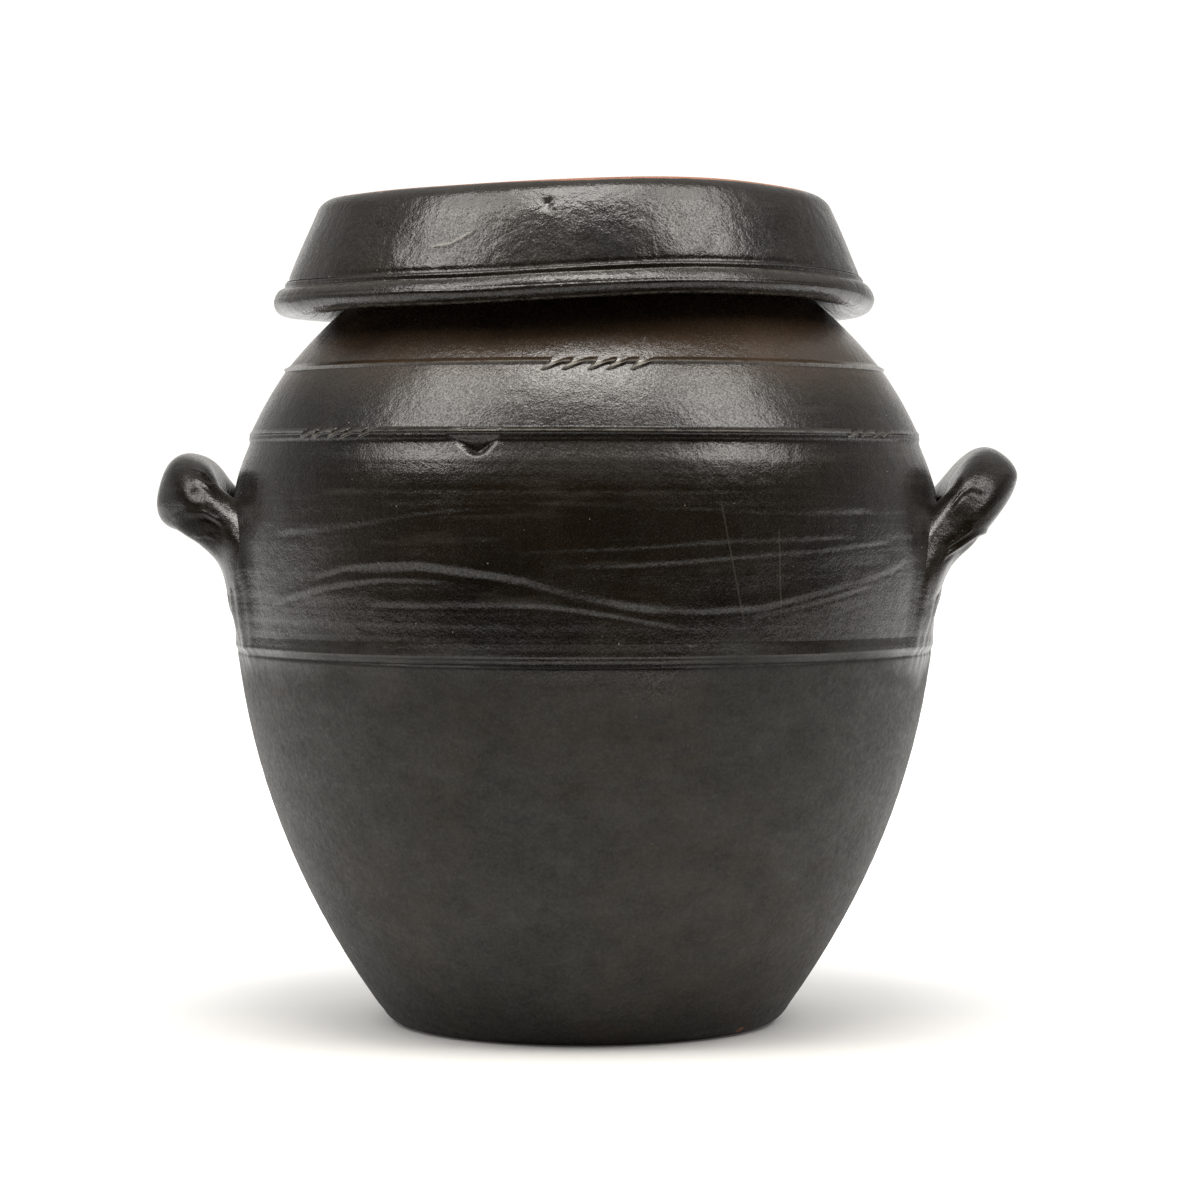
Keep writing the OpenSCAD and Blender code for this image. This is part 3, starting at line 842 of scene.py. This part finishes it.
class JAR_OT_floor(JarOperator, Operator):
    """Floor disc with its rounded foot, and the coil pressed into the inside corner"""
    bl_idname = "storage_jar.floor"
    bl_label = "Floor and Corner Coil"

    def execute(self, context):
        s, r = self.sizes(context)
        angle = angles(COLUMNS["floor"])
        turn = np.radians(angle)

        def foot_radius(z):
            """The wall's radius, a little uneven around the foot."""
            return wall_radius(z, s) + 0.25 * lumps(turn, 9, 3, z)

        # Underside from the middle outwards: worn hollow by a quarter of a millimetre
        under = steps(0.4, 62.0, 26, angle)
        worn = 0.25 * (1 - smooth((under - 40) / 20)) + 0.08 * waves(under / 6, angle / 30, 9)
        # Round the foot: a quarter circle
        bend = np.radians(np.linspace(0, 90, 9))[:, None]
        z = s["foot_round"] * (1 - np.cos(bend)) + 0 * angle
        corner = foot_radius(z) - s["foot_round"] * (1 - np.sin(bend))
        # Up the side, which runs over into the finished wall, and back over the top
        up = steps(4.4, s["floor"] + 0.1, 7, angle)
        side = outside(angle + 0 * up, up, s, r)
        side = foot_radius(up) + (side - foot_radius(up)) * smooth((up - 4) / 4)
        over = steps(s["foot_radius"] + 3, 0.4, 30, angle)
        top = s["floor"] + 0.25 * np.sin(over * 0.8 + turn) * smooth((64 - over) / 8)
        points = np.concatenate([turned(under, np.maximum(worn, 0.02), angle), turned(corner, z, angle),
                                 turned(side, up, angle), turned(over, top, angle)])
        # The glaze reaches the underside, but for a chip on the edge
        chip = bell(turn_gap(angle, CHIP_AT), 1.4) * bell(z - 2.4, 1.1)
        bare = np.concatenate([0 * under + 1, np.maximum(1 - smooth(z / 0.5), chip), 0 * up, 0 * over])
        put("floor_disc_dressed", "jar", ["floor_disc"], points, {"bare": bare},
            material_of(context, "foot_clay"), tips=True)

        # Coil: up the wall, and back down over a face that is hollow like a quarter circle
        leg = COIL_LEG
        u = steps(0, 1, 12, angle)
        z = s["floor"] + 0.15 + leg * u
        wall = inner_radius(z, s) + 0.3
        hollow = 1 - np.sqrt(1 - (1 - u) ** 2)
        front = wall - 0.3 - leg * hollow - 0.25 * waves(angle / 12, u * 3, 6)
        points = np.concatenate([turned(wall, z, angle), turned(front, z, angle)[::-1]])
        put("floor_coil_dressed", "jar", ["floor_coil"], points, {"thin_and_highlight": 0.0},
            material_of(context, "body_glaze"), wrap=True)
        return {"FINISHED"}


class JAR_OT_walls(JarOperator, Operator):
    """Both belts of the wall, with turned rings, drawn lines and clay smeared to the handles"""
    bl_idname = "storage_jar.walls"
    bl_label = "Wall Belts"

    def execute(self, context):
        s, r = self.sizes(context)
        neck = s["belly_height"] + s["shoulder_height"]
        # The rows lie closer together where the handles' tails and the shoulder's lines are
        heights = rising((s["floor"], 108, 127, SEAM), (56, 14, 17))
        points = shell(heights, np.linspace(SEAM, s["floor"] + 0.1, 24), COLUMNS["lower_wall"], s, r)
        put("lower_wall_dressed", "jar", ["lower_wall"], points, {"thin_and_highlight": 0.0},
            material_of(context, "body_glaze"), wrap=True)
        heights = rising((SEAM, 188, 207, neck), (100, 29, 19))
        points = shell(heights, np.linspace(neck, SEAM, 10), COLUMNS["upper_wall"], s, r)
        put("upper_wall_dressed", "jar", ["upper_wall"], points, {"thin_and_highlight": 0.0},
            material_of(context, "body_glaze"), wrap=True)
        return {"FINISHED"}


class JAR_OT_rim(JarOperator, Operator):
    """Mouth rim: a coil that turns out into a thick rounded lip, wiped bare on top"""
    bl_idname = "storage_jar.rim"
    bl_label = "Mouth Rim"

    def execute(self, context):
        s, _ = self.sizes(context)
        angle = angles(COLUMNS["rim"])
        turn = np.radians(angle)
        neck, top = s["belly_height"] + s["shoulder_height"], s["rim_top"]
        inner, outer, lip = s["throat_radius"], s["neck_radius"], s["neck_radius"] + s["lip_out"]
        low = top - s["lip_height"]
        # A smooth curve through these radii and heights, turned around the axis
        rows = spline(np.array([
            (outer, neck), (outer, neck + 3), (outer + 0.3, low - 2.5), (outer + 2.4, low + 0.6),
            (lip - 0.5, low + 3), (lip, top - 5.2), (lip - 0.5, top - 2.2), (lip - 2.4, top - 0.5),
            (lip - 4.6, top - 0.02), (inner + 4.4, top - 0.02), (inner + 1.6, top - 0.9),
            (inner + 0.2, top - 3.2), (inner, top - 8), (inner, neck + 6), (inner, neck)]), 5)
        radius, z = rows[:, :1] + 0 * angle, rows[:, 1:] + 0 * angle
        free = smooth((z - neck - 1) / 4) * smooth((top - 1.2 - z) / 3)
        radius = radius + free * (0.2 * np.sin(z * 1.7 + turn) + 0.15 * lumps(turn, 3, 12))
        bare = smooth((z - top + 1.3) / 0.9)
        put("mouth_rim_dressed", "jar", ["mouth_rim"], turned(radius, z, angle), {"bare": bare},
            material_of(context, "clay_and_glaze"), wrap=True)
        return {"FINISHED"}


# How far each band sinks into the wall at the jar's sides and back, from 0 to 1
FADE = {"neck_band": 0.0, "shoulder_band": 0.7, "belly_band": 0.85}
# Pale line on each band's edge, glaze thinning all round and a painted highlight that is stronger in front:
# how pale all round, how much more in front, how soon that fades
EDGE_LINE = {"neck_band": (0.25, 0.5, 4), "shoulder_band": (0.15, 0.5, 2), "belly_band": (0.0, 0.0, 1)}


class JAR_OT_bands(JarOperator, Operator):
    """The raised bands around neck, shoulder and belly, with their slanted nicks"""
    bl_idname = "storage_jar.bands"
    bl_label = "Bands"

    def execute(self, context):
        s, r = self.sizes(context)
        for name, (level, half) in BANDS.items():
            narrow = half < 3
            angle = angles(COLUMNS["narrow_band" if narrow else "belly_band"])
            turn = np.radians(angle)
            front = np.clip(np.cos(turn), 0, 1)
            sway = 0.2 * np.sin(turn * 2 + level)
            z = level + half * np.linspace(-1.1, 1.1, 45 if narrow else 23)[:, None] + sway
            base = outside(angle + 0 * z, z, s, r)
            if narrow:
                # A ledge: it swells down to a sharp edge and drops back to the wall below
                cut, scraped_and_highlight = nick_cut(name, angle, z - level)
                edge = level + 0.9 + sway - r["nicks"] * cut
                above = np.clip(1 - (z - edge) / 1.6, 0, 1) ** 2
                below = np.clip(1 - (edge - z) / 1.1, 0, 1)
            else:
                edge, scraped_and_highlight = level - 0.1 * half + sway, 0
                above = 1.3 * np.clip(1 - (z - edge) / (1.05 * half), 0, 1) ** (1.6 - 0.55 * front)
                below = 1.3 * smooth(1 - (edge - z) / (0.4 * half))
            uneven = 1 + 0.12 * lumps(turn, 5, int(level))
            stands = BAND_OUT * (uneven - FADE[name] * (1 - front) ** 0.7)
            out = base + stands * np.where(z > edge, above, below) - 0.04
            if name == "shoulder_band":
                # A fine groove under the edge, and a longer one where the ledge has split
                split = smooth(1.6 - np.abs(turn_gap(angle, -16.6)) / 3.4)
                out = out - 0.22 * front * bell(edge - z - 0.55, 0.16)
                out = out - 0.7 * split * bell(z - edge - 0.15, 0.32)
            back = base[[-1, 0]] - 1.6
            points = np.concatenate([turned(out, z, angle), turned(back, z[[-1, 0]], angle)])
            # The pale edge line and nick strokes paint highlights onto the band as well as thinned glaze
            pale, more, fall = EDGE_LINE[name]
            worn = np.clip((pale + more * front ** fall) * bell(z - edge, 0.3) + scraped_and_highlight, 0, 1)
            put(name + "_dressed", "jar", [name], points, {"thin_and_highlight": np.concatenate([worn, 0 * back])},
                material_of(context, "body_glaze"), wrap=True)
        return {"FINISHED"}


class JAR_OT_handles(JarOperator, Operator):
    """Both handles: a bent clay roll, pinched and smeared onto the wall"""
    bl_idname = "storage_jar.handles"
    bl_label = "Handles"

    def execute(self, context):
        s, r = self.sizes(context)

        def squared(v):
            """Cosine or sine drawn out towards the side of a rounded rectangle."""
            return np.sign(v) * np.abs(v) ** (2 / SQUARENESS)

        for name, (half, lean, side) in HANDLES.items():
            # Each section lies across the path: out by the cosine, along the wall by the sine
            path, out, across, sizes = handle_frames(half, lean, side, s)
            out, across = out[:, None], across[:, None]
            thick, wide = sizes[:, :1], sizes[:, 1:]
            turn = np.linspace(0, 2 * math.pi, COLUMNS["handle"], endpoint=False)[None, :]
            c, w = np.cos(turn), np.sin(turn)
            u = np.linspace(-1, 1, len(path))[:, None]
            pinched = 0.35 * waves(u * 9, np.sin(turn) * 2 + np.cos(turn), 21 + int(side), 4, 0.8, 2.2)
            ridges = 0.22 * np.sin(turn * 5 + u * 3) * smooth((np.abs(u) - 0.25) / 0.35)
            grow = 1 + (pinched + ridges) / sizes.mean(1)[:, None]
            normal = out * (c / thick)[..., None] + across * (w / wide)[..., None]
            normal /= np.linalg.norm(normal, axis=2)[..., None]
            points = (path[:, None] + out * (thick * squared(c) * grow)[..., None]
                      + across * (wide * squared(w) * grow)[..., None])
            gap = np.hypot(points[..., 0], points[..., 1]) - wall_radius(points[..., 2], s)
            lift = smeared(gap, 0 * gap, r["fillet"]) + finger_marks(points, int(side))
            points = points + normal * lift[..., None]
            thin_and_highlight = np.clip(0.1 + 0.3 * waves(u * 12, turn * 2, 5), 0, 1) * 0.2
            # Drier underneath, which also paints shade there by taking off sheen, and as shiny as the wall
            # where it joins it
            dull = (0.45 + 0.55 * smooth((0.15 - normal[..., 2]) / 0.5)) * smooth((gap - 1.5) / 7.0)
            put(name + "_dressed", "jar", [name], points, {"thin_and_highlight": thin_and_highlight, "dull": dull},
                material_of(context, "body_glaze"), tips=True, sharp=70.0)
        return {"FINISHED"}


# Rise of the lid's edge in mm at angles from the front, at the bead and at the top corner
BEAD_RISE = [(-90, -0.2), (-53, -1.7), (-18, -1.5), (0, 0.2), (20, 2.2), (40, 2.4), (77, 1.3), (90, 0.4),
             (140, -0.4), (180, 0.2), (230, 0.3)]
TOP_RISE = [(-90, -1.0), (-60, -1.9), (-28, -1.5), (0, 0.0), (21, 1.2), (35, 1.3), (54, 0.4), (90, -0.6),
            (135, -0.4), (180, 0.1), (230, 0.2)]
PLAIN_WARP = 1.9
LID_FLARE = math.radians(22.5)
LID_CORNER = 4.2
# Pocks and lumps of the lid's wall: place in the picture, half width and height in mm
LID_POCKS = [((549, 205), 1.7, -0.7), ((553, 207), 0.8, 0.5), ((700, 247), 2.6, 0.25),
             ((712, 240), 3.2, -0.3), ((640, 262), 2.2, 0.25), ((470, 214), 3.0, -0.25),
             ((395, 255), 2.2, 0.25), ((790, 262), 2.0, 0.3)]
POCK_RADIUS = 94
LID_SCRATCH = [(425, 248), (452, 244), (466, 236), (480, 228)]


def lid_warp(angle, r, high):
    """Rise of the fired lid's edge: the measured table for bead (high 0) or top (high 1),
    smoothed around the turn by a bell-shaped average, and scaled by the warp size."""
    dense = np.arange(-180, 180, 1.0)
    kernel = np.hanning(35)
    ends = len(kernel) // 2
    rises = []
    for table in (BEAD_RISE, TOP_RISE):
        at, rise = np.array(table).T
        line = np.interp(dense, at, rise, period=360)
        line = np.concatenate([line[-ends:], line, line[:ends]])
        line = np.convolve(line, kernel / kernel.sum(), mode="valid")
        rises.append(np.interp(angle, dense, line, period=360))
    return (rises[0] + (rises[1] - rises[0]) * high) * r["warp"] / PLAIN_WARP


class JAR_OT_lid(JarOperator, Operator):
    """Lid: flat plate of bare clay, flared glazed wall and rolled bead, warped by the fire"""
    bl_idname = "storage_jar.lid"
    bl_label = "Lid"

    def execute(self, context):
        s, r = self.sizes(context)
        angle = angles(COLUMNS["lid"])
        turn = np.radians(angle)
        lid_top = s["lid_top"]
        seat = lid_top - s["lid_plate"]
        thick = s["lid_wall"] / math.cos(LID_FLARE)
        bead_top = seat - s["lid_drop"]
        shift = -s["lid_shift"]

        def cone(z):
            """Radius of the plain flared wall's outside."""
            return s["lid_inside"] + thick + (seat - z) * math.tan(LID_FLARE)

        def face(z):
            """Radius, height and pale line of the outer face: the flared cone, fuller at half its
            height in front and behind, with rings, pocks and the lid's warp; the pale line on its low ridge
            is a scored mark and a painted highlight."""
            high = np.clip((z - bead_top) / (lid_top - bead_top), 0, 1)
            rise = lid_warp(angle, r, high)
            radius = cone(z) + 0.006 * np.sin(z * 1.9 + turn) + 0.3 * waves(np.sin(turn) * 3, z / 14, 31)
            full, drawn_in = 1 - (2 * high - 1) ** 2, np.clip((high - 0.58) / 0.42, 0, 1) ** 2
            radius = radius + np.cos(turn) ** 2 * (0.85 * full - 1.1 * drawn_in)
            radius = radius - 0.3 * bell(z - bead_top - 0.6, 0.8)
            for point, wide, size in LID_POCKS:
                at, level = seen([point], cone, shift)
                across = arc(angle, at[0], POCK_RADIUS)
                radius = radius + size * bell(across, wide) * bell(z + rise - level[0], wide)
            at, level = seen(LID_SCRATCH, cone, shift)
            off = z + rise - np.interp(angle, at, level)
            scratch_and_highlight = between(angle, at[0], at[-1], 2) * bell(off, 0.6)
            return radius + 0.16 * scratch_and_highlight, z + rise, 0.8 * scratch_and_highlight

        # Plate: flat underside, glazed side, rounded corner, bare top that sinks a little
        under = steps(0.5, s["lid_inside"] + thick - 1, 20, angle)
        side = steps(seat, lid_top - LID_CORNER, 8, angle)
        side_r, side_z, _ = face(side)
        bend = np.radians(np.linspace(8, 90, 12))[:, None]
        corner_r, corner_z, _ = face(lid_top - LID_CORNER + LID_CORNER * np.sin(bend) + 0 * angle)
        corner_r = corner_r - LID_CORNER * (1 - np.cos(bend))
        over = (1 - np.linspace(0, 1, 44)[1:, None]) * (corner_r[-1:] - 0.5) + 0.5
        edge = over / corner_r[-1:]
        top_z = (lid_top + (corner_z[-1:] - lid_top) * edge ** 2 - 0.9 * (1 - edge ** 2)
                 + 0.12 * np.sin(over * 1.1 + turn) * smooth((1 - edge) * 12))
        points = np.concatenate([turned(r_, z_, angle, shift) for r_, z_ in (
            (under, seat), (side_r, side_z), (corner_r, corner_z), (over, top_z))])
        # Bare clay comes further down the corner on the right, seen from the front
        ends = 66 - 13 * smooth((angle + 16) / 18) * smooth((78 - angle) / 20)
        corner_bare = smooth((np.degrees(bend) - ends + 9) / 18)
        bare = np.concatenate([smooth(s["lid_inside"] - 1 - under), 0 * side, corner_bare, 0 * over + 1])
        put("lid_plate_dressed", "lid", ["lid_plate"], points, {"bare": bare},
            material_of(context, "clay_and_glaze"), tips=True)

        # Wall: up the outside, down the inside
        out_r, out_z, scratch_and_highlight = face(steps(bead_top - 0.2, seat, 36, angle))
        z = steps(seat - 0.05, bead_top - 0.2, 10, angle)
        inside = cone(z) - thick + 0.15 * np.sin(z * 1.3 + turn)
        points = np.concatenate([turned(out_r, out_z, angle, shift), turned(inside, z, angle, shift)])
        put("lid_wall_dressed", "lid", ["lid_wall"], points, {"thin_and_highlight": np.concatenate([scratch_and_highlight, 0 * z])},
            material_of(context, "lid_glaze"), wrap=True)

        # Bead: a small ledge above a thick roll, from the wall's foot outwards, under and back up
        low = 0.9 - s["bead_height"]
        roll = spline(np.array([
            (0.0, 0.1), (1.1, -0.3), (1.5, -0.9), (1.6, -2.2), (2.3, -2.8), (3.3, -3.9), (4.1, -5.2),
            (4.6, -6.6), (4.5, -8.3), (3.8, -10.0), (2.6, -11.2), (0.8, low + 0.15), (-1.4, low),
            (-3.8, low + 0.8), (-6.2, -9.2), (-7.6, -6.6), (-8.0, -4.0), (-8.1, -1.6), (-8.1, 0.1),
            (-4.0, 0.1), (0.0, 0.1)]), 5)[:-1]
        out, down = roll[:, :1], roll[:, 1:]
        # The ledge shows in front and behind only
        ledge = (smooth((62 - np.abs(turn_gap(angle, 8))) / 34)
                 + 0.7 * smooth((50 - np.abs(turn_gap(angle, 190))) / 30))
        upper = smooth((down + 3.2) / 1.4) * (out > 0.2)
        swell = 0.25 * lumps(turn, 4, 44, down / 5) * smooth(-down / 3)
        groove = 0.14 * bell(down + 5.9 + 0.5 * np.sin(turn * 2), 0.35) * (out > 0)
        radius = cone(bead_top) + out - 0.75 * upper * (1 - ledge) + (swell - groove) * smooth(out / 2)
        # In front the roll is pressed thinner and ends in a small edge
        thinner = smooth((74 - np.abs(turn_gap(angle, 4))) / 30)
        press = 1.5 * thinner * smooth((-down - 5) / 6)
        z = bead_top + down + press + lid_warp(angle, r, 0.0) + 0.25 * swell
        # Pale lines under the ledge's edge and along the roll's lower edge: glaze thinning there, and
        # painted highlights where the edges catch the light
        thin_and_highlight = (0.2 * bell(down + 2.6, 0.5) + 0.45 * bell(down + 11.6, 0.3)) * (out > 0) + 0 * angle
        put("lid_bead_dressed", "lid", ["lid_bead"], turned(radius, z, angle, shift), {"thin_and_highlight": thin_and_highlight},
            material_of(context, "lid_glaze"), wrap=True)
        return {"FINISHED"}


# Places of the lamps, and width and height of their faces, in metres. All face the shoulder.
SIDE_BOXES = {"softbox_left": (-0.88, -0.5, 1.26), "softbox_right": (0.88, -0.5, 1.26)}
TOP_BOX = (0.0, -0.52, 1.58)
SIDE_SIZE, TOP_SIZE = (0.7, 0.8), (0.9, 0.62)
SHOULDER = (0.0, 0.0, 0.2)
LAMP_COLOUR = (1.0, 0.965, 0.92)
FLOOR_RADIUS, FLOOR_ROUGH = 6.0, 0.9


def softbox(name, place, size, power):
    """A rectangular lamp at a place, turned to face the jar's shoulder."""
    lamp = bpy.data.lights.new(name, "AREA")
    lamp.shape, lamp.size, lamp.size_y = "RECTANGLE", size[0], size[1]
    lamp.energy, lamp.color = power, LAMP_COLOUR
    made = bpy.data.objects.new(name, lamp)
    made.location = place
    made.rotation_euler = (Vector(SHOULDER) - Vector(place)).to_track_quat("-Z", "Y").to_euler()
    bpy.context.scene.collection.objects.link(made)


class JAR_OT_stage(Operator):
    """Pale floor, soft studio lamps, room light and the camera"""
    bl_idname = "storage_jar.stage"
    bl_label = "Studio"
    bl_options = {"REGISTER", "UNDO"}

    def execute(self, context):
        light = context.scene.storage_jar_light
        scene = context.scene
        # Floor: one round face
        mesh = bpy.data.meshes.new("studio_floor")
        turn = np.linspace(0, 2 * math.pi, 96, endpoint=False)
        ring = np.stack([FLOOR_RADIUS * np.cos(turn), FLOOR_RADIUS * np.sin(turn), 0 * turn], 1)
        mesh.from_pydata(ring.tolist(), [], [list(range(len(ring)))])
        mesh.materials.append(paper_material("studio_paper", light.floor, FLOOR_ROUGH))
        floor = bpy.data.objects.new("studio_floor", mesh)
        scene.collection.objects.link(floor)

        for name, place in SIDE_BOXES.items():
            softbox(name, place, SIDE_SIZE, light.side)
        softbox("softbox_top", TOP_BOX, TOP_SIZE, light.top)

        world = bpy.data.worlds.new("studio_room")
        scene.world = world
        world.use_nodes = True
        tree = world.node_tree
        tree.nodes.clear()
        _, y, z = along_axes(node(tree, "ShaderNodeTexCoord").outputs["Generated"])
        # Pale all round, dark where the photographer stands, dimmer overhead
        behind = maths("ADD", spread(y, -0.65, 0.6, 0.0, 0.42), spread(y, 0.86, 0.96, 0.0, 0.58))
        behind = times(behind, spread(z, 0.25, 0.75, 1.0, 0.35))
        shine = maths("MAXIMUM", behind, spread(z, 0.36, 0.58, 0.0, 0.5))
        room = {"Color": blend(shine, DARK_ROOM, PALE_ROOM), "Strength": light.room}
        node(tree, "ShaderNodeOutputWorld", {0: node(tree, "ShaderNodeBackground", room).outputs[0]})

        camera = bpy.data.cameras.new("view")
        camera.lens, camera.sensor_width = LENS, FILM
        camera.clip_start, camera.clip_end = 0.05, 30.0
        made = bpy.data.objects.new("view", camera)
        made.location = tuple(v / 1000 for v in EYE)
        made.rotation_euler = (math.radians(90) - math.atan((MIDDLE - HORIZON) / FOCAL), 0, 0)
        scene.collection.objects.link(made)
        scene.camera = made
        scene.view_settings.view_transform = "Standard"
        return {"FINISHED"}


class JAR_PT_sidebar(Panel):
    """Lists the jar's steps in the sidebar"""
    bl_idname = "JAR_PT_sidebar"
    bl_label = "Lidded Storage Jar"
    bl_space_type = "VIEW_3D"
    bl_region_type = "UI"
    bl_category = "Jar"

    def draw(self, context):
        for step in OPERATORS:
            self.layout.operator(step.bl_idname)
        for group in GROUPS:
            box = self.layout.box()
            values = getattr(context.scene, "storage_jar_" + group)
            for key in values.__annotations__:
                box.prop(values, key)


GROUPS = {"sizes": StorageJarSizes, "relief": StorageJarRelief,
          "finish": StorageJarFinish, "light": StorageJarLight}
OPERATORS = (JAR_OT_floor, JAR_OT_walls, JAR_OT_rim, JAR_OT_bands, JAR_OT_handles, JAR_OT_lid, JAR_OT_stage)


def register():
    """Registers the groups, operators and panel."""
    for cls in (*GROUPS.values(), *OPERATORS, JAR_PT_sidebar):
        bpy.utils.register_class(cls)
    for key, cls in GROUPS.items():
        setattr(bpy.types.Scene, "storage_jar_" + key, PointerProperty(type=cls))


def unregister():
    """Takes them all out again."""
    for key in GROUPS:
        delattr(bpy.types.Scene, "storage_jar_" + key)
    for cls in (JAR_PT_sidebar, *reversed(OPERATORS), *GROUPS.values()):
        bpy.utils.unregister_class(cls)


def main():
    register()
    bpy.ops.storage_jar.stage()
    bpy.ops.storage_jar.floor()
    bpy.ops.storage_jar.walls()
    bpy.ops.storage_jar.rim()
    bpy.ops.storage_jar.bands()
    bpy.ops.storage_jar.handles()
    bpy.ops.storage_jar.lid()


if __name__ == "__main__":
    main()
